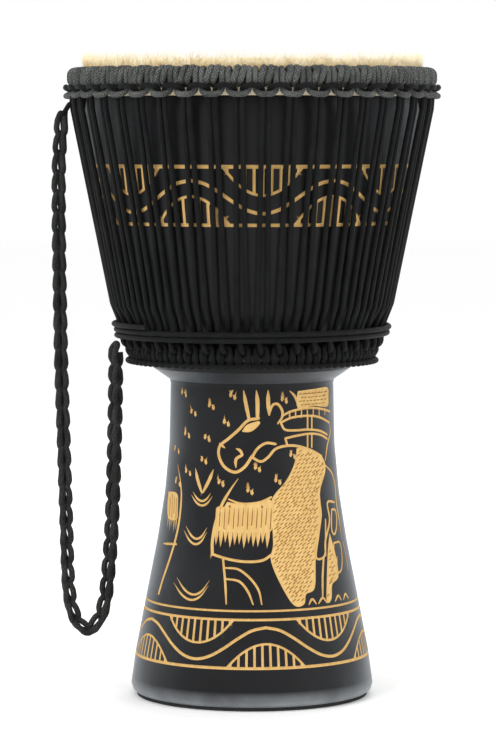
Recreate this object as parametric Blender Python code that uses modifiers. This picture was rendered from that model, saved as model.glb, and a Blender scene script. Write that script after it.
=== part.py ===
"""Djembe: a rope-tuned goblet drum, with a carved shell, a goat-skin head and a chained rope strap.

Metres, +Z up. The origin is the centre of the foot, on the floor. The tension rope, the crown loops and
the foot loops share one pitch around the drum: hitches sit at whole pitches, loops at half pitches.
"""

import math

import bpy
from mathutils import Vector

# Driving dimensions of the shell
SHELL_HEIGHT = 0.5986  # floor to bearing edge
NECK_HEIGHT = 0.297  # floor to the top of the neck
FOOT_RADIUS = 0.1152
NECK_RADIUS = 0.0772
BOWL_RADIUS = 0.1579
WALL = 0.0125
BORE_RADIUS = 0.055

# Driving dimensions of the head, the rings and the ropes
LOOPS = 44
SKIN = 0.001
COLLAR = 0.0012
COLLAR_RISE = 0.0074  # hair standing above the bearing edge
RING_BAR = 0.006
ROPE = 0.005
BINDING_SWEEP = 758  # degrees of horizontal rope under the bowl
BINDING_START = 222  # degrees, where its tucked end lies
TREAD = 0.003  # rubber strip under the foot
STRAP = 0.013
STRAP_POINTS = 41

# Clearances
GAP = 0.0003
SEAT = ROPE / 2 + GAP  # rope centreline to the surface it lies on
STACK = ROPE + GAP  # centrelines of two crossing ropes

PITCH = 2 * math.pi / LOOPS
FACET = 1 - math.cos(PITCH / 2)  # how far a facet falls inside its circle, as a share of the radius
STRAP_ANGLE = (LOOPS // 2 + 0.5) * PITCH  # the loop nearest the -X side

# The foot and the bowl as (height share, radius share): of the neck's height and the flare below it,
# then of the bowl's depth and the flare above the neck.
FOOT_OUTLINE = ((0.14, 0.887), (0.347, 0.574), (0.5, 0.337), (0.653, 0.147), (0.808, 0.034), (1, 0))
BOWL_OUTLINE = (
    (0.013, 0.01),
    (0.0497, 0.206),
    (0.1028, 0.29),
    (0.159, 0.431),
    (0.252, 0.644),
    (0.411, 0.763),
    (0.567, 0.876),
    (0.726, 0.945),
    (0.852, 1),
)
# The rim turns in towards the bearing edge: (drop below the edge, inset from the bowl's radius).
RIM_OUTLINE = ((0.0246, 0.0031), (0.0096, 0.0051), (0.0021, 0.0086), (0, 0.012))

# The strap's centreline, chosen by hand: down from the crown, round at the bottom and up to the binding.
STRAP_ROUTE = (
    (-0.1781, -0.0127, 0.5554),
    (-0.1796, -0.0128, 0.535),
    (-0.1815, -0.0129, 0.506),
    (-0.182, -0.0132, 0.465),
    (-0.182, -0.0136, 0.421),
    (-0.1816, -0.0141, 0.375),
    (-0.181, -0.0147, 0.326),
    (-0.1801, -0.0153, 0.283),
    (-0.179, -0.016, 0.24),
    (-0.178, -0.0168, 0.2),
    (-0.177, -0.0176, 0.16),
    (-0.1762, -0.0184, 0.125),
    (-0.1745, -0.0191, 0.097),
    (-0.1693, -0.0198, 0.0755),
    (-0.1575, -0.0206, 0.0622),
    (-0.1455, -0.0214, 0.0705),
    (-0.1385, -0.0222, 0.0905),
    (-0.1352, -0.0232, 0.118),
    (-0.1325, -0.0245, 0.15),
    (-0.1306, -0.0262, 0.19),
    (-0.1292, -0.0282, 0.235),
    (-0.1282, -0.03, 0.275),
    (-0.1277, -0.0316, 0.31),
    (-0.1276, -0.0326, 0.3397),
)


def clear_scene():
    for obj in list(bpy.data.objects):
        bpy.data.objects.remove(obj, do_unlink=True)


def material(name, colour, roughness, metallic=0.0):
    made = bpy.data.materials.new(name)
    made.use_nodes = True
    made.diffuse_color = (*colour, 1)
    shader = made.node_tree.nodes["Principled BSDF"]
    shader.inputs["Base Color"].default_value = (*colour, 1)
    shader.inputs["Roughness"].default_value = roughness
    shader.inputs["Metallic"].default_value = metallic
    return made


def on_drum(angle, radius, height):
    """A point of the drum from its angle about the axis, its radius and its height."""
    return Vector((radius * math.cos(angle), radius * math.sin(angle), height))


def add(name, data, finish):
    obj = bpy.data.objects.new(name, data)
    data.materials.append(finish)
    bpy.data.collections["djembe"].objects.link(obj)
    return obj


def revolve(name, profile, finish, closed=True):
    """Turns a profile of (radius, height) points, listed down its outer side, about the drum's axis."""
    edges = [(i, i + 1) for i in range(len(profile) - 1)]
    if closed:
        edges.append((len(profile) - 1, 0))
    mesh = bpy.data.meshes.new(name)
    mesh.from_pydata([(radius, 0, height) for radius, height in profile], edges, [])
    obj = add(name, mesh, finish)
    screw = obj.modifiers.new("Turn", "SCREW")
    screw.steps = screw.render_steps = LOOPS
    screw.use_merge_vertices = True
    screw.merge_threshold = 0.00005
    return obj


def rope(name, points, thickness, finish, closed=True, resolution=0):
    """A round rope or bar along straight runs between points."""
    curve = bpy.data.curves.new(name, "CURVE")
    curve.dimensions = "3D"
    curve.bevel_depth = thickness / 2
    curve.bevel_resolution = resolution
    curve.use_fill_caps = True
    spline = curve.splines.new("POLY")
    spline.points.add(len(points) - 1)
    for target, point in zip(spline.points, points):
        target.co = (*point, 1)
    spline.use_cyclic_u = closed
    return add(name, curve, finish)


def bowl_point(index):
    """Radius and height of one point of the bowl's outline."""
    height, radius = BOWL_OUTLINE[index]
    return (
        NECK_RADIUS + (BOWL_RADIUS - NECK_RADIUS) * radius,
        NECK_HEIGHT + (SHELL_HEIGHT - NECK_HEIGHT) * height,
    )


def rim_point(index):
    drop, inset = RIM_OUTLINE[index]
    return BOWL_RADIUS - inset, SHELL_HEIGHT - drop


def foot_point(index):
    height, radius = FOOT_OUTLINE[index]
    return NECK_RADIUS + (FOOT_RADIUS - NECK_RADIUS) * radius, NECK_HEIGHT * height


def outer_wall():
    """The shell's outer side from the bearing edge down to the foot."""
    rim = [rim_point(i) for i in reversed(range(len(RIM_OUTLINE)))]
    bowl = [bowl_point(i) for i in reversed(range(len(BOWL_OUTLINE)))]
    foot = [foot_point(i) for i in reversed(range(len(FOOT_OUTLINE)))]
    return rim + bowl + foot


def wall_radius(height):
    """The shell's outer radius at a height."""
    wall = outer_wall()
    for (r_high, z_high), (r_low, z_low) in zip(wall, wall[1:]):
        if z_low <= height <= z_high:
            return r_low + (r_high - r_low) * (height - z_low) / (z_high - z_low)
    return wall[-1][0]


def beside_wall(upper, lower, share, distance):
    """The outward direction at a point of one wall segment, and the place that far outside it."""
    along = Vector((upper[0] - lower[0], upper[1] - lower[1])).normalized()
    out = Vector((along.y, -along.x))
    base = Vector(lower).lerp(Vector(upper), share)
    return out, along, base + out * distance


def shell(finish):
    """One carved log: open bowl, waisted bore and flared foot, hollow from end to end."""
    sole = TREAD + GAP
    edge_radius, edge_height = rim_point(len(RIM_OUTLINE) - 1)
    worn_edge = [(FOOT_RADIUS, 0.011), (FOOT_RADIUS - 0.0016, 0.0055), (FOOT_RADIUS - 0.0045, sole)]
    outside = outer_wall() + worn_edge
    inside = [
        (FOOT_RADIUS - 0.0165, sole),
        (foot_point(1)[0] - WALL * 1.25, foot_point(1)[1]),
        (BORE_RADIUS + 0.004, foot_point(4)[1]),
        (BORE_RADIUS, NECK_HEIGHT),
        (BORE_RADIUS + 0.008, bowl_point(1)[1] + WALL / 2),
        (bowl_point(3)[0] - WALL * 1.7, bowl_point(3)[1]),
        (bowl_point(4)[0] - WALL * 1.15, bowl_point(4)[1]),
        (bowl_point(6)[0] - WALL, bowl_point(6)[1]),
        (bowl_point(8)[0] - WALL * 1.2, bowl_point(8)[1]),
        (edge_radius - 0.005, edge_height - 0.003),
    ]
    return revolve("shell", outside + inside, finish)


def foot_tread(finish):
    """A rubber strip under the foot, which the drum stands on."""
    inner, outer = FOOT_RADIUS - 0.0155, FOOT_RADIUS - 0.0055
    return revolve("foot_tread", [(outer, TREAD), (outer, 0), (inner, 0), (inner, TREAD)], finish)


def skin_wall(height):
    """The radius of the skin's middle surface where it lies on the shell's side."""
    return wall_radius(height) + GAP + SKIN / 2


def flesh_ring_centre():
    """The flesh ring hangs in the fold of the skin, clear of the crown's rope above it."""
    height = crown_ring_centre().y - hitch_reach() - ROPE / 2 - GAP - SKIN - 2 * GAP - RING_BAR / 2
    lowest = height - RING_BAR / 2 - GAP - SKIN
    return Vector((skin_wall(lowest) + GAP + SKIN / 2 + RING_BAR / 2, height))


def drumhead(finish):
    """Goat skin: flat head, down over the bearing edge and round under the flesh ring."""
    top = SHELL_HEIGHT + GAP + SKIN / 2
    edge = rim_point(3)[0]
    lift = 1.25 * GAP + SKIN / 2
    centre = flesh_ring_centre()
    fold = (RING_BAR / 2 + GAP + SKIN / 2) / math.cos(math.radians(30))
    profile = [
        (0, top),
        (edge, top),
        (rim_point(2)[0] + lift * 0.8, rim_point(2)[1] + lift * 0.6),
        (rim_point(1)[0] + lift, rim_point(1)[1]),
        (skin_wall(centre.y + RING_BAR / 2) + GAP, centre.y + RING_BAR / 2),
    ]
    for turn in (-150, -90, -30, 30):
        angle = math.radians(turn)
        profile.append((centre.x + fold * math.cos(angle), centre.y + fold * math.sin(angle)))
    head = revolve("drumhead", profile, finish, closed=False)
    sheet = head.modifiers.new("Skin", "SOLIDIFY")
    sheet.thickness = SKIN
    sheet.offset = 0
    sheet.use_even_offset = True
    return head


def hair_collar(finish):
    """The skin's hairy edge, left long and turned up between the head and the crown."""
    low = flesh_ring_centre().y + RING_BAR / 2 + 2 * SKIN + 2 * GAP
    middle = rim_point(1)[1]
    top = SHELL_HEIGHT + COLLAR_RISE
    outer = collar_outer()
    profile = [
        (outer - 0.0016, top),
        (outer + 0.0012, top),
        (outer + 0.0022, SHELL_HEIGHT + 0.0014),
        (outer, crown_ring_centre().y + hitch_reach() + ROPE / 2),
        (outer, low),
        (outer - COLLAR / 3, low),
        (rim_point(1)[0] + SKIN + 3 * GAP, middle),
    ]
    return revolve("hair_collar", profile, finish)


def collar_outer():
    return wall_radius(crown_height()) + GAP + SKIN + GAP + COLLAR + 2 * GAP


def crown_height():
    """The crown ring's height: a rope-wrapped ring below the bearing edge."""
    return SHELL_HEIGHT - 0.0131


def hitch_reach():
    """A rope that squares round a ring: from the ring's centre to the rope's centreline."""
    return RING_BAR / 2 + SEAT


def crown_ring_centre():
    return Vector((collar_outer() + SEAT + hitch_reach(), crown_height()))


def foot_ring_frame():
    """Outward and upward directions at the lower ring, and its centre, on the slope under the bowl."""
    return beside_wall(bowl_point(3), bowl_point(2), 0.2, hitch_reach() + SEAT)


def steel_ring(name, centre, finish):
    points = [on_drum(PITCH * i, centre.x, centre.y) for i in range(LOOPS)]
    return rope(name, points, RING_BAR, finish, resolution=1)


def crown_front():
    """The radius of the crown's legs, and of the arches and loop ends that lie in front of them."""
    legs = crown_ring_centre().x + hitch_reach() - 0.0008
    return legs, legs + STACK


def crown_cradle(finish):
    """The crown's rope: one loop hangs at each half pitch, from hitches over the ring."""
    ring = crown_ring_centre()
    reach = hitch_reach()
    legs, front = crown_front()
    high, low = ring.y + reach, ring.y - reach
    side = (ROPE + GAP) / 2 / (ring.x - reach)
    leg_drop, loop_drop = 1.64 * ROPE, 2.3 * ROPE
    points = []
    for i in range(LOOPS):
        here, following = PITCH * i, PITCH * (i + 1)
        loop = here + PITCH / 2
        points += [
            on_drum(here + side, ring.x - reach, low),
            on_drum(here + side, ring.x - reach, high),
            on_drum(here + side, ring.x + reach, high),
            on_drum(here + side, legs, low - leg_drop),
            on_drum(loop - ROPE / ring.x, front, low - loop_drop),
            on_drum(loop + ROPE / ring.x, front, low - loop_drop),
            on_drum(following - side, legs, low - leg_drop),
            on_drum(following - side, ring.x + reach, high),
            on_drum(following - side, ring.x - reach, high),
            on_drum(following - side, ring.x - reach, low),
        ]
    return rope("crown_cradle", points, ROPE, finish)


def foot_cradle_bar():
    """The radius and height of the bar at the top of each lower loop."""
    _, _, ring = foot_ring_frame()
    height = ring.y + RING_BAR / 2 + SEAT + GAP + STACK
    return wall_radius(height) + 1.25 * SEAT + 1.2 * STACK, height


def foot_cradle(finish):
    """The lower ring's rope: one loop stands at each half pitch, hitched under the ring."""
    out, up, ring = foot_ring_frame()
    reach = hitch_reach()
    bar_radius, bar_height = foot_cradle_bar()
    side = (ROPE + GAP) / 2 / (ring - out * reach - up * reach).x
    front_high = ring + out * reach + up * reach
    front_low = ring + out * reach - up * reach
    back_low = ring - out * reach - up * reach
    points = []
    for i in range(LOOPS):
        here, following = PITCH * i, PITCH * (i + 1)
        loop = here + PITCH / 2
        for corner in (back_low, front_low, front_high):
            points.append(on_drum(here + side, corner.x, corner.y))
        points.append(on_drum(loop - ROPE / bar_radius, bar_radius, bar_height))
        points.append(on_drum(loop + ROPE / bar_radius, bar_radius, bar_height))
        for corner in (front_high, front_low, back_low):
            points.append(on_drum(following - side, corner.x, corner.y))
    return rope("foot_cradle", points, ROPE, finish)


def strand_line():
    """Where each upright run leaves the crown and where it meets the bowl's lower bend."""
    top = (crown_ring_centre().x + ROPE * 0.8, crown_height() - 5.9 * ROPE)
    bend = (bowl_point(4)[0] + SEAT + GAP, bowl_point(4)[1])
    return top, bend


def strand_front(height):
    """The outermost centreline of the upright runs at a height near the binding."""
    _, bend = strand_line()
    bar_radius, bar_height = foot_cradle_bar()
    knee = (bar_radius + STACK + 0.14 * ROPE, bar_height + 2.32 * ROPE)
    if height < knee[1]:
        return knee[0]
    return knee[0] + (bend[0] - knee[0]) * (height - knee[1]) / (bend[1] - knee[1])


def tension_rope(finish):
    """The lacing: up behind a loop, out through it, across as an arch, and down behind the next."""
    ring = crown_ring_centre()
    legs, front = crown_front()
    (top_radius, top_height), (bend_radius, bend_height) = strand_line()
    bar_radius, bar_height = foot_cradle_bar()
    apart = (ROPE / 2 + GAP) / top_radius
    under = bar_height - STACK
    knee_height = bar_height + 2.32 * ROPE
    arch = front + 2 * GAP
    arch_height = ring.y - hitch_reach() - ROPE * 0.8
    points = []
    for i in range(LOOPS):
        loop = PITCH * (i + 0.5)
        behind = bar_radius - 1.2 * STACK
        landing = bar_height + 1.32 * ROPE
        points += [
            on_drum(PITCH * i, arch, arch_height + 0.2 * ROPE),
            on_drum(loop - 1.4 * ROPE / front, arch, arch_height),
            on_drum(loop - apart, legs + GAP, arch_height - 0.36 * ROPE),
            on_drum(loop - apart, top_radius, top_height),
            on_drum(loop - PITCH / 4, bend_radius, bend_height),
            on_drum(loop - PITCH / 4, strand_front(knee_height), knee_height),
            on_drum(loop - GAP / front, bar_radius + STACK, under),
            on_drum(loop + GAP / front, behind, under),
            on_drum(loop + 0.4 * ROPE / front, behind, bar_height),
            on_drum(loop + PITCH / 4, wall_radius(landing) + SEAT * 1.4, landing),
            on_drum(loop + PITCH / 4, bend_radius, bend_height),
            on_drum(loop + apart, top_radius, top_height),
            on_drum(loop + apart, legs + GAP, arch_height - 0.36 * ROPE),
            on_drum(loop + 1.4 * ROPE / front, arch, arch_height),
        ]
    return rope("tension_rope", points, ROPE, finish)


def binding_rope(finish):
    """Two turns and a part of rope that draw the upright runs in under the bowl."""
    _, bar_height = foot_cradle_bar()
    low = bar_height + 0.98 * ROPE
    steps = round(BINDING_SWEEP / 360 * LOOPS)
    points = []
    for step in range(steps + 1):
        turned = step / steps
        angle = math.radians(BINDING_START - BINDING_SWEEP * turned)
        height = low + STACK * BINDING_SWEEP / 360 * (1 - turned)
        radius = (strand_front(height + ROPE / 2) + STACK) / (1 - FACET)
        points.append(on_drum(angle, radius, height))
    return rope("binding_rope", points, ROPE, finish, closed=False)


def strap_loop(finish):
    """The ring of rope that ties the strap to a pair of upright runs under the crown."""
    top_radius, top_height = strand_line()[0]
    height = top_height + ROPE / 2
    reach_out, reach_round = STACK + 3 * GAP, STACK + ROPE / 2 + 4 * GAP
    points = []
    for i in range(12):
        turn = 2 * math.pi * i / 12
        radius = top_radius + reach_out * math.cos(turn)
        points.append(on_drum(STRAP_ANGLE + reach_round * math.sin(turn) / top_radius, radius, height))
    return rope("strap_loop", points, ROPE, finish, resolution=1)


def smooth_route(route, count):
    """Evenly spaced points on a smooth curve through the route's points."""
    ends = [2 * Vector(route[0]) - Vector(route[1]), 2 * Vector(route[-1]) - Vector(route[-2])]
    knots = [ends[0], *map(Vector, route), ends[1]]
    fine = []
    for before, start, end, after in zip(knots, knots[1:], knots[2:], knots[3:]):
        for step in range(16):
            t = step / 16
            line = 2 * start + (end - before) * t
            line += (2 * before - 5 * start + 4 * end - after) * t**2
            line += (3 * start - before - 3 * end + after) * t**3
            fine.append(line / 2)
    fine.append(knots[-2])
    reached = [0.0]
    for start, end in zip(fine, fine[1:]):
        reached.append(reached[-1] + (end - start).length)
    points = []
    segment = 0
    for i in range(count):
        wanted = reached[-1] * i / (count - 1)
        while segment < len(fine) - 2 and reached[segment + 1] < wanted:
            segment += 1
        share = (wanted - reached[segment]) / (reached[segment + 1] - reached[segment])
        points.append(fine[segment].lerp(fine[segment + 1], share))
    return points


def strap(finish):
    """The chained rope strap: tied at the crown, hanging free, ending under the binding."""
    points = smooth_route(STRAP_ROUTE, STRAP_POINTS)
    return rope("strap", points, STRAP, finish, closed=False, resolution=2)


def build():
    clear_scene()
    bpy.context.scene.collection.children.link(bpy.data.collections.new("djembe"))
    stained_wood = material("stained wood", (0.018, 0.019, 0.021), 0.42)
    goat_skin = material("goat skin", (0.78, 0.66, 0.43), 0.6)
    goat_hair = material("goat hair", (0.83, 0.72, 0.48), 0.9)
    black_rope = material("black rope", (0.022, 0.023, 0.022), 0.75)
    ring_steel = material("ring steel", (0.35, 0.35, 0.36), 0.4, 1.0)
    tread_rubber = material("tread rubber", (0.015, 0.015, 0.015), 0.85)

    shell(stained_wood)
    foot_tread(tread_rubber)
    drumhead(goat_skin)
    hair_collar(goat_hair)
    steel_ring("flesh_ring", flesh_ring_centre(), ring_steel)
    steel_ring("crown_ring", crown_ring_centre(), ring_steel)
    steel_ring("foot_ring", foot_ring_frame()[2], ring_steel)
    crown_cradle(black_rope)
    foot_cradle(black_rope)
    tension_rope(black_rope)
    binding_rope(black_rope)
    strap_loop(black_rope)
    strap(black_rope)


build()
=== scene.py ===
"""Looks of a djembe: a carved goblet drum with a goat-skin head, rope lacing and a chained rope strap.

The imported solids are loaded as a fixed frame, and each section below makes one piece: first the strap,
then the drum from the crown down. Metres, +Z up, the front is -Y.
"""

import math

import bmesh
import bpy
import numpy as np
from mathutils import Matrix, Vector
from mathutils.geometry import delaunay_2d_cdt


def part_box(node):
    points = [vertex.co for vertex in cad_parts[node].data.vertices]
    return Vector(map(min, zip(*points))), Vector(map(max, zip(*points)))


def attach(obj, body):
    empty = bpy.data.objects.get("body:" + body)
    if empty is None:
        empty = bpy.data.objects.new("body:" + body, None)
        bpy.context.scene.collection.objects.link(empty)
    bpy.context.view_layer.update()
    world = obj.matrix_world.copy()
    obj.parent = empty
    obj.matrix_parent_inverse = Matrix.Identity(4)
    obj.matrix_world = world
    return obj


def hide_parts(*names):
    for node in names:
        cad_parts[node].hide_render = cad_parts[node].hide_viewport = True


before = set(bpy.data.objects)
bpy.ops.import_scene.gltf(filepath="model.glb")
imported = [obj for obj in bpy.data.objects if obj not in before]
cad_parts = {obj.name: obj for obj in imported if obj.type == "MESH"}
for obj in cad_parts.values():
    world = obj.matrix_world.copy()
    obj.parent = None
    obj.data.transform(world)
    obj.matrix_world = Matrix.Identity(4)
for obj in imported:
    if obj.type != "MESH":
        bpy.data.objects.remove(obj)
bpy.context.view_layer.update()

# ---- Camera and studio ----
# A long lens a little above the waist of the drum, looking slightly down, as for a catalogue picture.
# The drum stands on a plain white floor in even white light.


def new_object(name, data):
    """An object in the scene that shows this data."""
    made = bpy.data.objects.new(name, data)
    bpy.context.scene.collection.objects.link(made)
    return made


camera = new_object("camera", bpy.data.cameras.new("camera"))
camera.data.lens = 164.9
camera.location = (-0.0038, -3.24, 0.5314)
camera.rotation_euler = (math.radians(90 - 3.98), 0, 0)
bpy.context.scene.camera = camera
bpy.context.scene.view_settings.view_transform = "Standard"


def new_material(name, roughness=0.5):
    """A material, with its node tree and the inputs of its shader."""
    made = bpy.data.materials.new(name)
    made.use_nodes = True
    inputs = made.node_tree.nodes["Principled BSDF"].inputs
    inputs["Roughness"].default_value = roughness
    return made, made.node_tree, inputs


floor_material, _, floor_inputs = new_material("white floor", 0.9)
floor_inputs["Base Color"].default_value = (0.985, 0.985, 0.985, 1)
bpy.ops.mesh.primitive_circle_add(vertices=96, radius=14, fill_type="NGON", location=(0, 0, -0.0004))
floor = bpy.context.object
floor.name = "floor"
floor.data.materials.append(floor_material)

world = bpy.data.worlds.new("white room")
bpy.context.scene.world = world
world.use_nodes = True
background = world.node_tree.nodes["Background"].inputs
background["Color"].default_value = (1, 1, 1, 1)
background["Strength"].default_value = 1.0
for name, spot, size, power in (
    ("window", (-1.7, -2.2, 2.3), 1.6, 42),
    ("side fill", (2.3, -1.5, 1.2), 1.4, 16),
    ("back light", (0.6, 2.2, 2.0), 1.6, 20),
):
    lamp = new_object(name, bpy.data.lights.new(name, "AREA"))
    lamp.data.size = size
    lamp.data.energy = power
    lamp.location = spot
    lamp.rotation_euler = (Vector((0, 0, 0.3)) - lamp.location).to_track_quat("-Z", "Y").to_euler()

# ---- Strap ----
# The end of the tension rope, left long and chained: each loop is pulled through the one before it.
# It is tied at the crown, hangs free beside the drum and ends under the binding below the bowl.

ROPE = 0.005
STRANDS, LAY_LENGTH = 6, 0.016


def start_tree(name, sockets, kind="GeometryNodeTree"):
    """A node tree with the named inputs, each with its socket type."""
    tree = bpy.data.node_groups.new(name, kind)
    for label, socket in sockets.items():
        tree.interface.new_socket(label, in_out="INPUT", socket_type="NodeSocket" + socket)
    return tree, tree.nodes.new("NodeGroupInput").outputs


def end_tree(tree, outputs):
    """Connects the named outputs, each with what feeds it."""
    last = tree.nodes.new("NodeGroupOutput")
    for label, feed in outputs.items():
        tree.interface.new_socket(label, in_out="OUTPUT", socket_type=feed.bl_idname)
        tree.links.new(feed, last.inputs[label])


def place(tree, kind, feeds, **settings):
    """Adds a node; feeds maps its inputs to values or to other nodes' outputs."""
    made = tree.nodes.new(kind)
    for key, value in settings.items():
        setattr(made, key, value)
    for key, value in feeds.items():
        if isinstance(value, bpy.types.NodeSocket):
            tree.links.new(value, made.inputs[key])
        else:
            made.inputs[key].default_value = value
    return made.outputs


def sum_of(tree, operation, *values):
    """One Math node on these values."""
    return place(tree, "ShaderNodeMath", dict(enumerate(values)), operation=operation)[0]


def vector_sum(tree, operation, *values):
    """One Vector Math node on these values."""
    return place(tree, "ShaderNodeVectorMath", dict(enumerate(values)), operation=operation)[0]


def scaled(tree, vector, amount):
    """A vector times an amount."""
    return place(tree, "ShaderNodeVectorMath", {0: vector, "Scale": amount}, operation="SCALE")[0]


def stored(tree, geometry, name, value, kind):
    """The geometry with a value kept on its points under a name."""
    feeds = {"Geometry": geometry, "Name": name, "Value": value}
    return place(tree, "GeometryNodeStoreNamedAttribute", feeds, data_type=kind, domain="POINT")[0]


def rope_tree():
    """Rope laid along a line of points: corners rounded, swept to its thickness and closed at its ends.

    The attribute "lay" keeps where each point is round the rope, as cosine and sine, and along it.
    """
    inputs = {"Geometry": "Geometry", "Thickness": "Float", "Rounding": "Float"}
    inputs |= {"Corner points": "Int", "Sides": "Int"}
    tree, given = start_tree("rope along a line", inputs)
    line = place(tree, "GeometryNodeMeshToCurve", {0: given["Geometry"]})[0]
    corners = {"Curve": line, "Radius": given["Rounding"], "Count": given["Corner points"]}
    line = place(tree, "GeometryNodeFilletCurve", {**corners, "Limit Radius": True}, mode="POLY")[0]
    line = stored(tree, line, "run", place(tree, "GeometryNodeSplineParameter", {})["Length"], "FLOAT")
    half = sum_of(tree, "MULTIPLY", given["Thickness"], 0.5)
    ring = place(tree, "GeometryNodeCurvePrimitiveCircle", {"Resolution": given["Sides"], "Radius": half})[0]
    ring = stored(tree, ring, "ring", place(tree, "GeometryNodeInputPosition", {})[0], "FLOAT_VECTOR")
    sweep = {"Curve": line, "Profile Curve": ring, "Fill Caps": True}
    tube = place(tree, "GeometryNodeCurveToMesh", sweep)[0]
    around = place(tree, "GeometryNodeInputNamedAttribute", {"Name": "ring"}, data_type="FLOAT_VECTOR")[0]
    run = place(tree, "GeometryNodeInputNamedAttribute", {"Name": "run"}, data_type="FLOAT")[0]
    parts = place(tree, "ShaderNodeSeparateXYZ", {0: vector_sum(tree, "NORMALIZE", around)})
    lay = place(tree, "ShaderNodeCombineXYZ", {0: parts[0], 1: parts[1], 2: run})[0]
    made = stored(tree, tube, "lay", lay, "FLOAT_VECTOR")
    made = place(tree, "GeometryNodeSetShadeSmooth", {"Geometry": made})[0]
    made = place(tree, "GeometryNodeMergeByDistance", {"Geometry": made, "Distance": 0.00001})[0]
    end_tree(tree, {"Geometry": made})
    return tree


def line_of_points(name, lines):
    """A mesh of bare edges along lists of points: each is (points, whether it closes on itself)."""
    points, edges = [], []
    for line, closed in lines:
        first = len(points)
        points += map(tuple, line)
        edges += [(i, i + 1) for i in range(first, len(points) - 1)]
        if closed:
            edges.append((len(points) - 1, first))
    mesh = bpy.data.meshes.new(name)
    mesh.from_pydata(points, edges, [])
    return new_object(name, mesh)


def grow(source, tree, material, values):
    """Runs a tree on an object with these input values, and keeps the result as its plain mesh."""
    modifier = source.modifiers.new("grow", "NODES")
    modifier.node_group = tree
    for socket in tree.interface.items_tree:
        if socket.in_out == "INPUT" and socket.name in values:
            modifier[socket.identifier] = values[socket.name]
    graph = bpy.context.evaluated_depsgraph_get()
    result = source.evaluated_get(graph)
    mesh = bpy.data.meshes.new_from_object(result, preserve_all_data_layers=True, depsgraph=graph)
    mesh.name = source.name
    mesh.materials.clear()
    mesh.materials.append(material)
    source.modifiers.clear()
    source.data = mesh
    return source


def keep(piece, slot, *nodes):
    """The piece rides on the drum's one body and stands for CAD nodes, which are hidden. The slot is not
    used.
    """
    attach(piece, "root")
    if nodes:
        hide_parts(*nodes)


def object_place(tree):
    """A point's place on the object."""
    return place(tree, "ShaderNodeTexCoord", {})["Object"]


def noise(tree, at, scale, detail):
    """Noise from 0 to 1, finer with a larger scale."""
    return place(tree, "ShaderNodeTexNoise", {"Vector": at, "Scale": scale, "Detail": detail})["Fac"]


def ranged(tree, value, low, high, at_low=0.0, at_high=1.0):
    """A value carried from one range to another, and held at its ends."""
    return place(tree, "ShaderNodeMapRange", {0: value, 1: low, 2: high, 3: at_low, 4: at_high})[0]


def mixed(tree, share, first, second):
    """A colour between two others, each given as three numbers or as a node's output."""
    ends = [end if isinstance(end, bpy.types.NodeSocket) else (*end, 1) for end in (first, second)]
    return place(tree, "ShaderNodeMix", {"Factor": share, 6: ends[0], 7: ends[1]}, data_type="RGBA")[2]


def relief(tree, inputs, strength, distance, height):
    """Raises the shaded surface by a height."""
    feeds = {"Strength": strength, "Distance": distance, "Height": height}
    tree.links.new(place(tree, "ShaderNodeBump", feeds)[0], inputs["Normal"])


def braid_group():
    """Relief of a round braid: strands cross over each other along helices that run both ways."""
    tree, given = start_tree("rope braid", {"Fuzz": "Float"}, "ShaderNodeTree")
    lay = place(tree, "ShaderNodeAttribute", {}, attribute_name="lay")["Vector"]
    parts = place(tree, "ShaderNodeSeparateXYZ", {0: lay})
    around = sum_of(tree, "MULTIPLY", sum_of(tree, "ARCTAN2", parts[1], parts[0]), STRANDS / 2)
    along = sum_of(tree, "MULTIPLY", parts[2], math.pi * STRANDS / LAY_LENGTH)
    ways = [sum_of(tree, "SINE", sum_of(tree, way, around, along)) for way in ("ADD", "SUBTRACT")]
    cross = sum_of(tree, "SQRT", sum_of(tree, "ABSOLUTE", sum_of(tree, "MULTIPLY", *ways)))
    at = object_place(tree)
    fine = noise(tree, at, 1400.0, 2.0)
    height = sum_of(tree, "ADD", cross, sum_of(tree, "MULTIPLY", fine, given["Fuzz"]))
    speckle = ranged(tree, fine, 0.4, 0.66, 0.3, 1.5)
    wear = sum_of(tree, "MULTIPLY", noise(tree, at, 55.0, 3.0), speckle)
    end_tree(tree, {"Height": height, "Crossing": cross, "Wear": wear})
    return tree


BRAID = braid_group()


def rope_material(name, dark, light, fuzz, roughness):
    """Polyester braid: near black between the strands, which is painted shade, and greyer on their backs,
    partly from wear and partly as a painted highlight.
    """
    made, tree, inputs = new_material(name, roughness)
    braid = place(tree, "ShaderNodeGroup", {"Fuzz": fuzz}, node_tree=BRAID)
    # The braid's crossings lighten the strands' backs and darken the colour between them: painted highlight
    # and painted shade, mixed with random wear.
    shade = sum_of(tree, "MULTIPLY", braid["Crossing"], braid["Wear"])
    shade = sum_of(tree, "MULTIPLY", shade, 1.6)
    tree.links.new(mixed(tree, shade, dark, light), inputs["Base Color"])
    relief(tree, inputs, 0.7, 0.0006, braid["Height"])
    inputs["Specular IOR Level"].default_value = 0.09
    inputs["Sheen Weight"].default_value = 0.02
    return made


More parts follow.
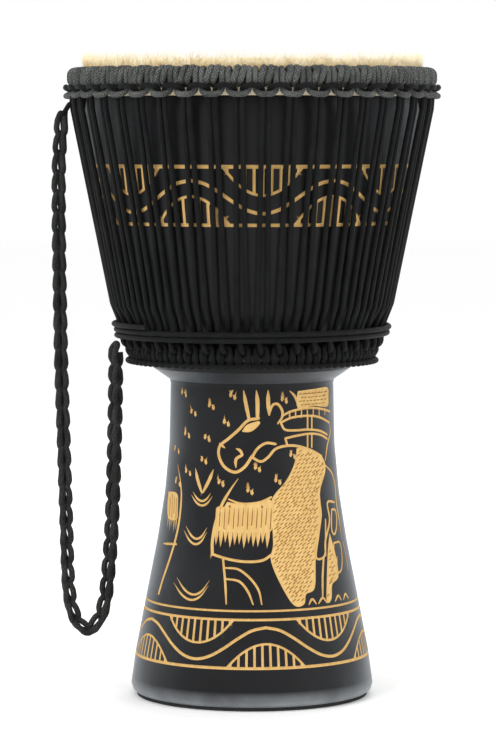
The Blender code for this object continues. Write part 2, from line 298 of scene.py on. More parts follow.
black_rope = rope_material("black rope", (0.001, 0.0011, 0.0011), (0.014, 0.015, 0.015), 0.5, 0.6)
strap_rope = rope_material("strap rope", (0.002, 0.0022, 0.0022), (0.06, 0.065, 0.06), 0.7, 0.65)
STRAP_ROUTE = (
    (-0.1781, -0.0127, 0.5554), (-0.1796, -0.0128, 0.535), (-0.1815, -0.0129, 0.506),
    (-0.182, -0.0132, 0.465), (-0.182, -0.0136, 0.421), (-0.1816, -0.0141, 0.375),
    (-0.181, -0.0147, 0.326), (-0.1801, -0.0153, 0.283), (-0.179, -0.016, 0.24),
    (-0.178, -0.0168, 0.2), (-0.177, -0.0176, 0.16), (-0.1762, -0.0184, 0.125),
    (-0.1745, -0.0191, 0.097), (-0.1693, -0.0198, 0.0755), (-0.1575, -0.0206, 0.0622),
    (-0.1455, -0.0214, 0.0705), (-0.1385, -0.0222, 0.0905), (-0.1352, -0.0232, 0.118),
    (-0.1325, -0.0245, 0.15), (-0.1306, -0.0262, 0.19), (-0.1292, -0.0282, 0.235),
    (-0.1282, -0.03, 0.275), (-0.1277, -0.0316, 0.31), (-0.1276, -0.0326, 0.3397),
)
LINK_PITCH = 0.0185
LINKS = 42
FIRST_LINK = 0.002
# One link's centreline, in link pitches along and rope thicknesses across and to the front. The rope
# comes up through the last loop, makes a loop of its own and goes back down behind it to the next.
LINK_LEFT = (
    (0.0, -0.34, -0.45), (0.12, -0.45, 0.2), (0.45, -0.72, 0.8), (0.85, -0.86, 0.6), (1.07, -0.68, 0.1),
)
LINK_TOP = ((1.2, 0.0, -0.1),)
LINK_BACK = ((0.3, 0.12, -0.85), (0.7, -0.12, -0.85))
FRONT = (0, -1, 0)


def strap_links():
    """The rope's own line through every link, with the strap laid out straight along Z."""
    points = []
    mirrored = tuple((along, -across, front) for along, across, front in reversed(LINK_LEFT))
    for link in range(LINKS):
        for along, across, front in LINK_LEFT + LINK_TOP + mirrored + LINK_BACK:
            points.append((across * ROPE, front * ROPE, (link + along) * LINK_PITCH + FIRST_LINK))
    return points


def smooth_line(route, count):
    """Evenly spaced points on a smooth curve through the route's points."""
    ends = [2 * Vector(route[0]) - Vector(route[1]), 2 * Vector(route[-1]) - Vector(route[-2])]
    knots = [ends[0], *map(Vector, route), ends[1]]
    fine = []
    for before, start, end, after in zip(knots, knots[1:], knots[2:], knots[3:]):
        for step in range(16):
            t = step / 16
            line = 2 * start + (end - before) * t
            line += (2 * before - 5 * start + 4 * end - after) * t**2
            line += (3 * start - before - 3 * end + after) * t**3
            fine.append(line / 2)
    fine = np.array([*fine, knots[-2]])
    reached = np.concatenate([[0], np.cumsum(np.linalg.norm(np.diff(fine, axis=0), axis=1))])
    wanted = np.linspace(0, reached[-1], count)
    return np.stack([np.interp(wanted, reached, fine[:, axis]) for axis in range(3)], axis=1), reached[-1]


def chain_tree(rope):
    """Lays straight links along a route, turning slowly about it, and sweeps them as rope."""
    inputs = {"Geometry": "Geometry", "Route": "Object", "Thickness": "Float"}
    inputs |= {"Turn at the start": "Float", "Turn per metre": "Float"}
    tree, given = start_tree("links along a route", inputs)
    route = place(tree, "GeometryNodeObjectInfo", {"Object": given["Route"]})["Geometry"]
    route = place(tree, "GeometryNodeMeshToCurve", {0: route})[0]
    here = place(tree, "GeometryNodeInputPosition", {})[0]
    across, front, along = place(tree, "ShaderNodeSeparateXYZ", {0: here})
    at = place(tree, "GeometryNodeSampleCurve", {"Curves": route, "Length": along}, mode="LENGTH")
    tangent = at["Tangent"]
    towards = place(tree, "ShaderNodeVectorMath", {0: tangent, 1: FRONT}, operation="DOT_PRODUCT")["Value"]
    facing = vector_sum(tree, "SUBTRACT", FRONT, scaled(tree, tangent, towards))
    facing = vector_sum(tree, "NORMALIZE", facing)
    beside = vector_sum(tree, "CROSS_PRODUCT", tangent, facing)
    turn = sum_of(tree, "MULTIPLY", along, given["Turn per metre"])
    turn = sum_of(tree, "ADD", turn, given["Turn at the start"])
    cosine, sine = sum_of(tree, "COSINE", turn), sum_of(tree, "SINE", turn)
    aside = [sum_of(tree, "MULTIPLY", *pair) for pair in ((across, cosine), (front, sine))]
    ahead = [sum_of(tree, "MULTIPLY", *pair) for pair in ((across, sine), (front, cosine))]
    aside = scaled(tree, beside, sum_of(tree, "SUBTRACT", *aside))
    ahead = scaled(tree, facing, sum_of(tree, "ADD", *ahead))
    spot = vector_sum(tree, "ADD", at["Position"], vector_sum(tree, "ADD", aside, ahead))
    laid = place(tree, "GeometryNodeSetPosition", {"Geometry": given["Geometry"], "Position": spot})[0]
    sweep = {"Geometry": laid, "Thickness": given["Thickness"], "Rounding": 0.006}
    sweep |= {"Corner points": 4, "Sides": 10}
    swept = place(tree, "GeometryNodeGroup", sweep, node_tree=rope)[0]
    end_tree(tree, {"Geometry": swept})
    return tree


ROPE_TREE = rope_tree()
strap_path, strap_length = smooth_line(STRAP_ROUTE, 160)
route = line_of_points("strap route", [(strap_path, False)])
strap = line_of_points("chained_strap", [(strap_links(), False)])
strap_values = {"Route": route, "Thickness": 0.0057, "Turn at the start": -0.2, "Turn per metre": 1.6}
strap = grow(strap, chain_tree(ROPE_TREE), strap_rope, strap_values)
bpy.data.objects.remove(route)
keep(strap, "black_rope", "strap")

# ---- Strap loop ----
# A bight of the same rope that ties the strap to a pair of upright runs just under the crown. It goes
# round behind both runs and comes back out to the strap's first link.


def laid_rope(name, lines, material, rounding, corner_points, sides=12, thickness=ROPE):
    """Rope swept along lines of corner points."""
    values = {"Thickness": thickness, "Rounding": rounding, "Corner points": corner_points, "Sides": sides}
    return grow(line_of_points(name, lines), ROPE_TREE, material, values)


loop_low, loop_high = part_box("strap_loop")
loop_centre = (Vector(loop_low) + Vector(loop_high)) / 2
loop_out = Vector((loop_centre.x, loop_centre.y, 0)).normalized()
loop_side = Vector((-loop_out.y, loop_out.x, 0))
# Half of the loop, from behind the runs to the strap's first link, as places out, sideways and up.
LOOP_HALF = ((-0.0035, 0.0075, 0.004), (0.003, 0.0068, 0.0025), (0.0088, 0.0032, -0.007))
loop_line = [(-0.0062, 0.0, 0.004), *((out, -side, up) for out, side, up in LOOP_HALF)]
loop_line += [(0.0095, 0.0, -0.012), *reversed(LOOP_HALF)]
loop_points = []
for out, side, up in loop_line:
    loop_points.append(loop_centre + loop_out * out + loop_side * side + Vector((0, 0, up)))
strap_tie = laid_rope("strap_tie", [(loop_points, True)], black_rope, 0.005, 5, thickness=0.0046)
keep(strap_tie, "black_rope", "strap_loop")

# ---- Crown ----
# The upper steel ring with the rope that is hitched round it. One loop hangs from it at each half
# pitch for the lacing, and between the loops the same rope takes a further hitch to fill the ring.

LOOPS = 44
PITCH = 2 * math.pi / LOOPS
CLEAR = 0.0003
STACK = ROPE + CLEAR
RING_BAR = 0.006
REACH = RING_BAR / 2 + ROPE / 2 + CLEAR
LEG_DROP, LOOP_DROP = 1.64 * ROPE, 2.3 * ROPE
LEG_INSET = 0.0008


def ring_centre(node):
    """Radius and height of a steel ring's bar, from its packed box."""
    low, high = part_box(node)
    return high[0] - RING_BAR / 2, (low[2] + high[2]) / 2


def on_drum(angle, radius, height):
    """A point of the drum from its angle about the axis, its radius and its height."""
    return Vector((radius * math.cos(angle), radius * math.sin(angle), height))


def loops_round(leg, side, half, turning):
    """A rope's line round the drum: down a leg of each loop, over its turning place and up the other."""
    points = []
    for i in range(LOOPS):
        here, following = PITCH * i, PITCH * (i + 1)
        points += [on_drum(here + side, *corner) for corner in leg]
        points += [on_drum(here + PITCH / 2 + way * half, *turning) for way in (-1, 1)]
        points += [on_drum(following - side, *corner) for corner in reversed(leg)]
    return points


# The crown's rope is lighter partly from its real fuzz and wear and partly as a painted highlight, for the
# light that falls on the crown from above.
worn_rope_with_painted_highlight = rope_material("worn rope", (0.002, 0.0022, 0.0022), (0.2, 0.21, 0.2), 0.9, 0.75)
crown_radius, crown_height = ring_centre("crown_ring")
crown_low, crown_high = crown_height - REACH, crown_height + REACH
crown_in, crown_out = crown_radius - REACH, crown_radius + REACH
legs = crown_out - LEG_INSET
front = legs + STACK
side = STACK / 2 / crown_in
leg = ((crown_in, crown_low), (crown_in, crown_high), (crown_out, crown_high), (legs, crown_low - LEG_DROP))
crown_line = loops_round(leg, side, ROPE / crown_radius, (front, crown_low - LOOP_DROP))
crown_loops = laid_rope("crown_loops", [(crown_line, True)], worn_rope_with_painted_highlight, 0.005, 5, thickness=0.0054)
keep(crown_loops, "black_rope", "crown_cradle")

# The hitch at each half pitch: two slanted turns that fill the ring, pushed up tight to their neighbours.
HITCH_ROPE = 0.0062
HITCH_REACH = RING_BAR / 2 + HITCH_ROPE / 2 + CLEAR
WRAP_SLANT = 0.0019
ROUND_BAR = ((-1, -1), (-1, 1), (1, 1), (1, -1))


def hitch_turns(corners, half, slant=0):
    """A pair of turns round a ring's bar at each half pitch, through places on its four sides."""
    lines = []
    for i in range(LOOPS):
        for lean in (-half, half):
            middle = PITCH * (i + 0.5) + lean
            turn = [on_drum(middle + slant * up, *corner) for (_, up), corner in zip(ROUND_BAR, corners)]
            lines.append((turn, True))
    return lines


sides = [(crown_radius + out * HITCH_REACH, crown_height + up * HITCH_REACH) for out, up in ROUND_BAR]
turns = hitch_turns(sides, HITCH_ROPE / 2 / crown_radius, WRAP_SLANT / crown_radius)
crown_hitches = laid_rope("crown_hitches", turns, worn_rope_with_painted_highlight, 0.0045, 5, thickness=HITCH_ROPE)
keep(crown_hitches, "black_rope")

# ---- Foot loops ----
# The lower steel ring lies under the swell of the bowl. Its rope stands up in one loop for each loop
# of the crown, and is hitched under the ring between them.

foot_radius, foot_height = ring_centre("foot_ring")
foot_slope = Vector((0.557, 0.830)).normalized()
foot_out = Vector((foot_slope.y, -foot_slope.x))
BAR_OUT, BAR_UP = 0.0071, 0.0114
bar_radius, bar_height = foot_radius + BAR_OUT, foot_height + BAR_UP
foot_side = STACK / 2 / (foot_radius - REACH)


def beside_foot_ring(out, up):
    """Radius and height of a place beside the lower ring, square to the slope it lies on."""
    return Vector((foot_radius, foot_height)) + foot_out * out * REACH + foot_slope * up * REACH


foot_leg = [beside_foot_ring(*corner) for corner in ((-1, -1), (1, -1), (1, 1))]
foot_points = loops_round(foot_leg, foot_side, ROPE / bar_radius, (bar_radius, bar_height))
foot_loops = laid_rope("foot_loops", [(foot_points, True)], black_rope, 0.0045, 5)
keep(foot_loops, "black_rope", "foot_cradle")

# The hitch's second turns at each half pitch, with a bar across each pair at the front.
FOOT_HITCH_ROPE = 0.0047
BAR_HALF = 0.0048
BAR_DROP = -0.35
BAR_CORNERS = ((-1, 0.6), (-0.6, 1.9), (0.6, 1.9), (1, 0.6))
foot_lines = hitch_turns([beside_foot_ring(*corner) for corner in ROUND_BAR], foot_side)
for i in range(2 * LOOPS):
    bar = []
    for across, out in BAR_CORNERS:
        angle = PITCH / 2 * (i + 1) + across * BAR_HALF / foot_radius
        bar.append(on_drum(angle, *beside_foot_ring(out, BAR_DROP)))
    foot_lines.append((bar, False))
foot_hitches = laid_rope("foot_hitches", foot_lines, black_rope, 0.0045, 5, thickness=FOOT_HITCH_ROPE)
keep(foot_hitches, "black_rope")

# ---- Lacing ----
# One long rope, pulled tight: up behind a crown loop, out through it, over to the next as an arch, and
# down to the foot loops. It runs 44 times up and 44 times down.

TOP_OUT, TOP_DROP = 0.8 * ROPE, 5.9 * ROPE
BEND = (0.1323, 0.3730)
KNEE_UP, LANDING_UP = 2.32 * ROPE, 1.32 * ROPE
LANDING_IN = 0.0014
top = (crown_radius + TOP_OUT, crown_height - TOP_DROP)
apart = (ROPE / 2 + CLEAR) / top[0]
arch, arch_height = front + 2 * CLEAR, crown_low - 0.8 * ROPE
arch_half = 1.4 * ROPE / front
passing = (legs + CLEAR, arch_height - 0.36 * ROPE)
behind = bar_radius - 1.2 * STACK
knee = (bar_radius + STACK + 0.14 * ROPE, bar_height + KNEE_UP)
# One pitch of the lacing: turn from the loop's middle, radius and height.
one_pitch = (
    (-PITCH / 2, arch, arch_height + 0.2 * ROPE),
    (-arch_half, arch, arch_height),
    (-apart, *passing),
    (-apart, *top),
    (-PITCH / 4, *BEND),
    (-PITCH / 4, *knee),
    (-CLEAR / front, bar_radius + STACK, bar_height - STACK),
    (CLEAR / front, behind, bar_height - STACK),
    (0.4 * ROPE / front, behind, bar_height),
    (PITCH / 4, bar_radius - LANDING_IN, bar_height + LANDING_UP),
    (PITCH / 4, *BEND),
    (apart, *top),
    (apart, *passing),
    (arch_half, arch, arch_height),
)
lacing_points = []
for i in range(LOOPS):
    lacing_points += [on_drum(PITCH * (i + 0.5) + turn, *corner) for turn, *corner in one_pitch]
lacing = laid_rope("lacing", [(lacing_points, True)], black_rope, 0.006, 4)
keep(lacing, "black_rope", "tension_rope")

# ---- Binding ----
# The rope's last turns, laid round the lacing under the bowl to draw it in. Its start is tucked behind
# an upright run at the left.

BINDING_SWEEP, BINDING_START = 758, 222
BINDING_STEPS = 3 * LOOPS
binding_points = []
for step in range(BINDING_STEPS + 1):
    turned = step / BINDING_STEPS
    height = bar_height + 0.98 * ROPE + STACK * BINDING_SWEEP / 360 * (1 - turned)
    share = min(1, max(0, (height + ROPE / 2 - knee[1]) / (BEND[1] - knee[1])))
    reach = knee[0] + (BEND[0] - knee[0]) * share + STACK
    binding_points.append(on_drum(math.radians(BINDING_START - BINDING_SWEEP * turned), reach, height))
binding = laid_rope("binding", [(binding_points, False)], black_rope, 0.03, 2, 16)
keep(binding, "black_rope", "binding_rope")

# ---- Steel rings ----
# Three hoops of welded rod: one folded into the skin, one under the crown's rope and one under the
# bowl. They show only in slits between the ropes.


def refinish(node, material):
    """Gives a CAD node that stays as it is another material."""
    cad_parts[node].data.materials.clear()
    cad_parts[node].data.materials.append(material)


ring_steel, tree, inputs = new_material("ring steel")
inputs["Metallic"].default_value = 1
patches = noise(tree, object_place(tree), 60.0, 6.0)
tree.links.new(mixed(tree, patches, (0.36, 0.36, 0.37), (0.13, 0.09, 0.06)), inputs["Base Color"])
tree.links.new(ranged(tree, patches, 0.0, 1.0, 0.25, 0.7), inputs["Roughness"])
for node in ("flesh_ring", "crown_ring", "foot_ring"):
    refinish(node, ring_steel)

# ---- Shell ----
# Turned and hollowed from one log, stained black and waxed. The ornament is gouged through the stain
# to the pale wood: a band round the bowl, a wave round the foot and a picture between foot and neck.

MM = 0.001
COLUMNS = 176
# Outlines in millimetres, as radius and height.
FOOT_OUTLINE = ((115.2, 11), (110.9, 41.6), (99, 103), (90, 148.5), (82.8, 194), (78.5, 240), (77.2, 297))
BOWL_OUTLINE = (
    (78, 301), (93.8, 312), (100.6, 328), (112, 345), (129.2, 373), (138.8, 421), (147.9, 468),
    (153.5, 516), (157.9, 554),
)
RIM_OUTLINE = ((154.8, 574), (152.8, 589), (149.3, 596.5), (145.9, 598.6), (140.9, 595.6))
FOOT_EDGE = ((98.7, 3.3), (110.7, 3.3), (113.6, 5.5), (115.2, 11))
INSIDE = (
    (142.9, 554), (135.5, 468), (114.8, 373), (90.7, 345), (63, 318), (55, 297), (59, 240), (83.4, 103),
    (98.7, 3.3),
)
PICTURE_ZONE = (30, 296)
BAND_ZONE = (440, 515)


def outer_radius(height):
    """Radius of the shell's outside at a height, both in millimetres."""
    outline = np.array([*FOOT_OUTLINE, *BOWL_OUTLINE])
    return np.interp(height, outline[:, 1], outline[:, 0])


def gouged(points, width, start=1.0, end=1.0, spacing=1.7, tips=True):
    """A gouge's path through (turn, height) points, with its half width, thinned towards its ends.

    With tips, it runs out to a point at both ends, as where the tool goes in and comes out.
    """
    points = np.array(points, dtype=float)
    radius = float(outer_radius(points[:, 1].mean()))
    flat = [(turn * radius, height, 0) for turn, height in points]
    rough = sum(math.dist(a, b) for a, b in zip(flat, flat[1:]))
    count = max(3, int(rough / spacing) + 1)
    line = smooth_line(flat, count)[0][:, :2]
    share = np.linspace(0, 1, count)
    thin = np.minimum(start + (1 - start) * share / 0.3, end + (1 - end) * (1 - share) / 0.3)
    half = width / 2 * np.minimum(1, thin)
    if tips:
        first, last = line[0] - line[1], line[-1] - line[-2]
        before = line[0] + first / np.linalg.norm(first) * max(half[0], 0.1)
        after = line[-1] + last / np.linalg.norm(last) * max(half[-1], 0.1)
        line = np.array([before, *line, after])
        half = np.array([0, *half, 0])
    return {"line": line, "half": half, "radius": radius}


def gouge_sides(gouge):
    """The two sides of a gouge's path."""
    line, half = gouge["line"], gouge["half"]
    along = np.gradient(line, axis=0)
    along /= np.linalg.norm(along, axis=1)[:, None]
    square = np.stack([-along[:, 1], along[:, 0]], axis=1) * half[:, None]
    return line + square, line - square


FARTHEST_ROUND = 0.985


def drawn(points, turn=0.0):
    """Points drawn flat from the front, in millimetres across and up, as turns and heights."""
    laid = []
    for across, up in points:
        share = max(-FARTHEST_ROUND, min(FARTHEST_ROUND, across / float(outer_radius(up))))
        laid.append((turn + math.asin(share), up))
    return laid


def rolled_out(points, path):
    """Points as millimetres round the drum and up, on the turn that is nearest to a path."""
    line, radius = path["line"], path["radius"]
    middle = (line[:, 0].min() + line[:, 0].max()) / 2
    turned = points[:, 0] - middle / radius
    across = (turned - 2 * math.pi * np.round(turned / (2 * math.pi))) * radius + middle
    return np.stack([across, points[:, 1]], axis=1)


def from_steps(flat, starts, steps):
    """For each point and each step of a path: how far along it the nearest place is, and its distance."""
    offset = flat[:, None, :] - starts[None]
    share = np.clip((offset * steps).sum(axis=2) / np.maximum((steps**2).sum(axis=1), 1e-12), 0, 1)
    return share, np.linalg.norm(offset - share[..., None] * steps, axis=2)


def nearest(points, gouge):
    """The points near a gouge, each one's distance in half widths, and the half width there."""
    line, half = gouge["line"], gouge["half"]
    flat = rolled_out(points, gouge)
    margin = half.max() + 0.1
    inside = np.all((flat > line.min(axis=0) - margin) & (flat < line.max(axis=0) + margin), axis=1)
    which = np.nonzero(inside)[0]
    share, away = from_steps(flat[which], line[:-1], np.diff(line, axis=0))
    wide = half[:-1] + share * np.diff(half)
    reach = away / np.maximum(wide, 1e-6)
    best = reach.argmin(axis=1)
    rows = np.arange(len(which))
    return which, reach[rows, best], wide[rows, best]


def inside_of(flat, line):
    """Whether each point lies inside a closed outline."""
    crossed = np.zeros(len(flat), dtype=bool)
    for start, end in zip(line, np.roll(line, -1, axis=0)):
        if start[1] == end[1]:
            continue
        between = (flat[:, 1] < start[1]) != (flat[:, 1] < end[1])
        meets = start[0] + (flat[:, 1] - start[1]) * (end[0] - start[0]) / (end[1] - start[1])
        crossed ^= between & (flat[:, 0] < meets)
    return crossed


AREA_DEPTH = 0.7
GOUGE_SLOPE = 0.8
DEEPEST = 1.2
LAND_RISE = 0.7


def carved_depth(points, gouges, areas, lands):
    """Depth of the carving in millimetres at each point, and where a small land is left standing."""
    depth = np.zeros(len(points))
    standing = np.zeros(len(points))
    for area in areas:
        line = area["line"]
        flat = rolled_out(points, area)
        near = np.nonzero(np.all((flat > line.min(axis=0)) & (flat < line.max(axis=0)), axis=1))[0]
        within = near[inside_of(flat[near], line)]
        away = from_steps(flat[within], line, np.roll(line, -1, axis=0) - line)[1].min(axis=1)
        depth[within] = np.maximum(depth[within], np.minimum(AREA_DEPTH, away))
    for gouge in gouges:
        which, reach, wide = nearest(points, gouge)
        deep = np.minimum(wide * GOUGE_SLOPE, DEEPEST) * np.clip(1 - reach, 0, 1)
        depth[which] = np.maximum(depth[which], np.where(deep > 1e-4, deep, 0))
    for land in lands:
        which, reach, _ = nearest(points, land)
        left = np.clip(1 - reach, 0, 1)
        depth[which] *= 1 - LAND_RISE * left
        standing[which] = np.maximum(standing[which], left)
    return depth, standing


def carved_zone(mesh, layers, zone, gouges, areas=(), lands=()):
    """The shell's outside between two heights, with the gouges' edges and bottoms as its own edges.

    The points are joined on a plane on which each height is a ring.
    """
    low, high = zone
    mean = float(outer_radius((low + high) / 2))
    points, edges = [], []

    def lay(line, radius):
        for along, height in line:
            reach = math.exp((low - height) / mean)
            points.append(Vector((reach * math.cos(along / radius), reach * math.sin(along / radius))))

    rows = max(2, round((high - low) / 7))
    for row in range(rows + 1):
        first = len(points)
        height = low + (high - low) * row / rows
        shift = 0 if row in (0, rows) else row % 2 / 2
        lay([(2 * math.pi * (i + shift) / COLUMNS, height) for i in range(COLUMNS)], 1)
        if row in (0, rows):
            edges.extend((first + i, first + (i + 1) % COLUMNS) for i in range(COLUMNS))
    for gouge in [*gouges, *areas, *lands]:
        left, right = gouge_sides(gouge)
        for line in (left, gouge["line"], right):
            first = len(points)
            lay(line, gouge["radius"])
            edges.extend((i, i + 1) for i in range(first, len(points) - 1))
    flat, _, faces, *_ = delaunay_2d_cdt(points, edges, [], 0, 1e-7)
    flat = np.array([tuple(point) for point in flat])
    reach = np.linalg.norm(flat, axis=1)
    places = np.stack([np.arctan2(flat[:, 1], flat[:, 0]), low - mean * np.log(reach)], axis=1)
    depth, standing = carved_depth(places, gouges, areas, lands)
    depth[(places[:, 1] < low + 0.01) | (places[:, 1] > high - 0.01)] = 0
    inner = places[:, 1] > high - 0.01
    radii = outer_radius(places[:, 1]) - depth
    made = []
    for (turn, height), radius, cut, left in zip(places, radii, depth, standing):
        corner = mesh.verts.new(on_drum(turn - math.pi / 2, radius * MM, height * MM))
        corner[layers[0]] = cut
        corner[layers[1]] = left
        made.append(corner)
    for face in faces:
        if not all(inner[i] for i in face):
            mesh.faces.new([made[i] for i in face])


def bridge(mesh, rings):
    """Faces between each ring of points and the next."""
    for below, above in zip(rings, rings[1:]):
        for i in range(len(below)):
            following = (i + 1) % len(below)
            mesh.faces.new((below[i], below[following], above[following], above[i]))


def turned_band(mesh, outline):
    """Faces turned round the drum's axis through an outline."""
    turns = [2 * math.pi * i / COLUMNS - math.pi / 2 for i in range(COLUMNS)]
    rings = []
    for radius, height in outline:
        rings.append([mesh.verts.new(on_drum(turn, radius * MM, height * MM)) for turn in turns])
    bridge(mesh, rings)


def on_outside(heights):
    """Places on the shell's outside at these heights, as radius and height."""
    return [(float(outer_radius(height)), height) for height in heights]


def new_piece(name, shape):
    """An object from a closed shape, with its faces turned outward."""
    bmesh.ops.recalc_face_normals(shape, faces=shape.faces)
    mesh = bpy.data.meshes.new(name)
    shape.to_mesh(mesh)
    shape.free()
    return new_object(name, mesh)


def line_round(height, width):
    """A line cut round the drum, in eight even lengths."""
    sector = 2 * math.pi / 8
    ends = [[(sector * i, height), (sector * (i + 1), height)] for i in range(8)]
    return [gouged(pair, width, tips=False) for pair in ends]


LOBE_HALF = 0.27
SHORTEST_BAR = 4


def wave_ornament(waves, crest, middle, swing, top, bottom, reach, bars, width, bar_width):
    """A wave round the drum, with barred lobes hanging over its troughs and standing under its crests."""
    cuts = []
    length = 2 * math.pi / waves
    for i in range(waves):
        start = crest + length * i
        turns = [start + length * step / 10 for step in range(11)]
        swell = [(turn, middle + swing * math.cos((turn - start) * waves)) for turn in turns]
        cuts.append(gouged(swell, width, tips=False))
        for centre, edge, way in ((start + length / 2, top, -1), (start, bottom, 1)):
            lobe = []
            for step in range(-4, 5):
                height = edge + way * reach * (1 - (step / 4) ** 2)
                lobe.append((centre + length * LOBE_HALF * step / 4, height))
            cuts.append(gouged(lobe, width * 0.8))
            for bar in range(bars):
                share = (bar + 0.5) / bars * 2 - 1
                tall = reach * (1 - share**2)
                turn = centre + length * LOBE_HALF * share
                if tall > SHORTEST_BAR:
                    cuts.append(gouged([(turn, edge), (turn, edge + way * tall)], bar_width))
    return cuts


# The picture, drawn flat: a bridled, horned head over a barred cloth with a fringe. Each line has its
# width, how much of that is left at its start and its end unless it is all of it, and its points across
# and up, in millimetres.
PICTURE_LINES = (
    # Head
    (3.8, 0.3, 0.8, ((-8, 295), (-6, 284), (-3, 269))),
    (4.2, 0.3, 0.8, ((4, 295), (5, 284), (5, 269))),
    (4.2, 0.3, 0.5, ((15, 295), (15, 284), (16, 272))),
    (2.9, 0.7, 0.7, ((16, 273), (19, 281), (24, 282), (28, 276), (28, 270), (24, 264))),
    (3.1, (
        (6, 269), (-4, 267), (-13, 258), (-22, 250), (-30, 243), (-31, 234), (-26, 224), (-16, 219),
        (-7, 224), (0, 234),
    )),
    (2.8, ((0, 233), (5, 241), (13, 246), (22, 245))),
    (2.8, ((0, 233), (8, 229), (15, 233), (23, 241), (38, 243), (54, 238), (65, 231))),
    (3.0, 0.3, 0.8, ((-15, 241), (-11, 239), (-9, 235))),
    (3.2, 0.8, 0.3, ((-9, 235), (-15, 231), (-15, 223))),
    (2.5, 0.8, 0.3, ((-30, 245), (-25, 241))),
    # Harness
    (2.5, ((28, 271), (37, 275), (50, 277), (62, 276), (74, 271))),
    (2.5, ((27, 265), (37, 269), (50, 270), (62, 268), (73, 261))),
    (2.5, ((27, 264), (31, 258), (42, 257), (52, 257), (63, 255), (71, 250))),
    (2.3, ((52, 269), (52, 257))),
    (2.3, ((56, 269), (56, 257))),
    (2.5, ((31, 250), (42, 252), (54, 253), (64, 251), (71, 246))),
    (2.5, ((31, 250), (33, 243))),
    (2.3, ((52, 252), (52, 241))),
    (2.3, ((56, 252), (56, 240))),
    (2.9, 0.5, 0.5, ((73, 262), (74, 252), (71, 240), (69, 226))),
    (2.9, 0.4, 0.6, ((35, 294), (39, 290), (42, 284), (43, 278))),
    (2.9, 0.6, 0.4, ((69, 222), (76, 212), (79, 198), (80, 184), (83, 166), (85, 150))),
    (2.9, 0.8, 0.8, ((78, 186), (71, 187), (73, 171), (69, 153), (69, 139))),
    (2.5, ((75, 180), (79, 178), (80, 166), (78, 157), (75, 162), (75, 180))),
    # Cloth
    (3.2, 0.3, 1.0, ((-13, 213), (-20, 203), (-28, 189), (-34, 172), (-37, 155), (-37, 143))),
    (2.8, ((-37, 143), (-22, 139), (-6, 137), (9, 138), (18, 143))),
    (2.8, 0.6, 0.8, ((-22, 194), (-10, 190), (6, 191), (18, 196))),
    (2.5, 1.0, 0.6, ((-27, 139), (-25, 118), (-24, 98))),
    (2.5, 0.8, 0.6, ((-25, 131), (-13, 130), (-2, 122), (6, 111), (9, 98))),
    (2.5, 0.8, 0.6, ((-24, 121), (-12, 119), (-4, 110), (1, 98))),
    (3.2, 0.3, 1.0, ((-70, 223), (-67, 204), (-67, 184), (-70, 162), (-77, 136), (-84, 115), (-88, 101))),
    (2.5, 1.0, 0.4, ((-71, 149), (-84, 147))),
    (3.8, 0.2, 0.6, ((-53, 221), (-51, 211), (-47, 199))),
    (3.8, 0.2, 0.6, ((-36, 221), (-40, 211), (-46, 199))),
    (2.8, 1.0, 0.6, ((67, 137), (66, 120), (66, 101))),
    (2.8, 0.6, 0.8, ((80, 136), (79, 120), (73, 113), (71, 102))),
    # Legs
    (2.4, ((65, 177), (62, 156), (60, 138), (68, 139), (69, 155), (69, 172))),
    (2.2, ((77, 149), (83, 148), (85, 135), (84, 123), (79, 123), (77, 136), (77, 149))),
    (2.2, 0.8, 0.8, ((86, 148), (89, 135), (91, 121))),
    (2.4, 0.6, 0.6, ((53, 96), (56, 101), (60, 96))),
    (2.4, 0.6, 0.6, ((62, 96), (66, 101), (70, 96))),
    (2.4, 0.6, 0.6, ((78, 96), (81, 101), (84, 96))),
    (2.4, 0.6, 0.6, ((86, 96), (88, 101), (91, 96))),
)
CLOTH = (
    (42, 240), (54, 238), (65, 231), (69, 219), (64, 201), (64, 188), (65, 176), (61, 156), (59, 136),
    (58, 111), (50, 106), (48, 97), (39, 97), (27, 116), (18, 138), (20, 152), (19, 176), (19, 194),
    (31, 209), (37, 219), (41, 230),
)
PANEL = ((43, 293), (57, 294), (71, 294), (72, 285), (71, 277), (58, 279), (44, 278), (42, 285))
EYE = ((-9, 257), (-4, 263), (7, 266), (4, 261), (-2, 257))
LEG_GAP = ((73, 158), (78, 140), (81, 119), (75, 112), (74, 99), (70, 99), (71, 135))
FRINGE = (
    (-23, 191), (-10, 189), (6, 190), (17, 193), (18, 178), (17, 165), (0, 164), (-18, 164), (-33, 166),
    (-30, 178),
)
REAR_FRINGE = ((-79, 195), (-71, 195), (-70, 182), (-71, 172), (-79, 172), (-80, 184))
# Crescents: middle, lowest height, width and depth. Fringes: left, right, top, tip and tongues.
CRESCENTS = (
    (-47, 187, 20, 9), (-47, 191, 17, 8), (-53, 151, 22, 12), (-52, 156, 20, 11), (-57, 100, 33, 14),
    (-55, 105, 31, 14),
)
TICKS = (
    (-64, 290), (-18, 290), (-38, 280), (-55, 273), (30, 286), (-24, 265), (-61, 252), (-42, 250), (-71, 236),
    (38, 234), (-45, 229), (5, 223), (-60, 217), (24, 211), (-29, 209), (-2, 202), (-70, 206),
)
FRINGES = ((-35, 17, 185, 151, 12), (-80, -70, 190, 160, 5))
# Areas whose ground keeps rows of slanted lands: outline, distance apart, slope and length.
LAND_ROWS = ((CLOTH, 3.9, 0.8, 2.5), (PANEL, 3.4, 0.25, 2.0), (LEG_GAP, 3.6, 0.8, 2.2))
# The panel's lower edge: bars from the first one's place across, their distance apart and both heights.
PANEL_BARS, BAR_FROM, BAR_APART, BAR_HEIGHTS = 7, 35, 5.6, (275, 269)


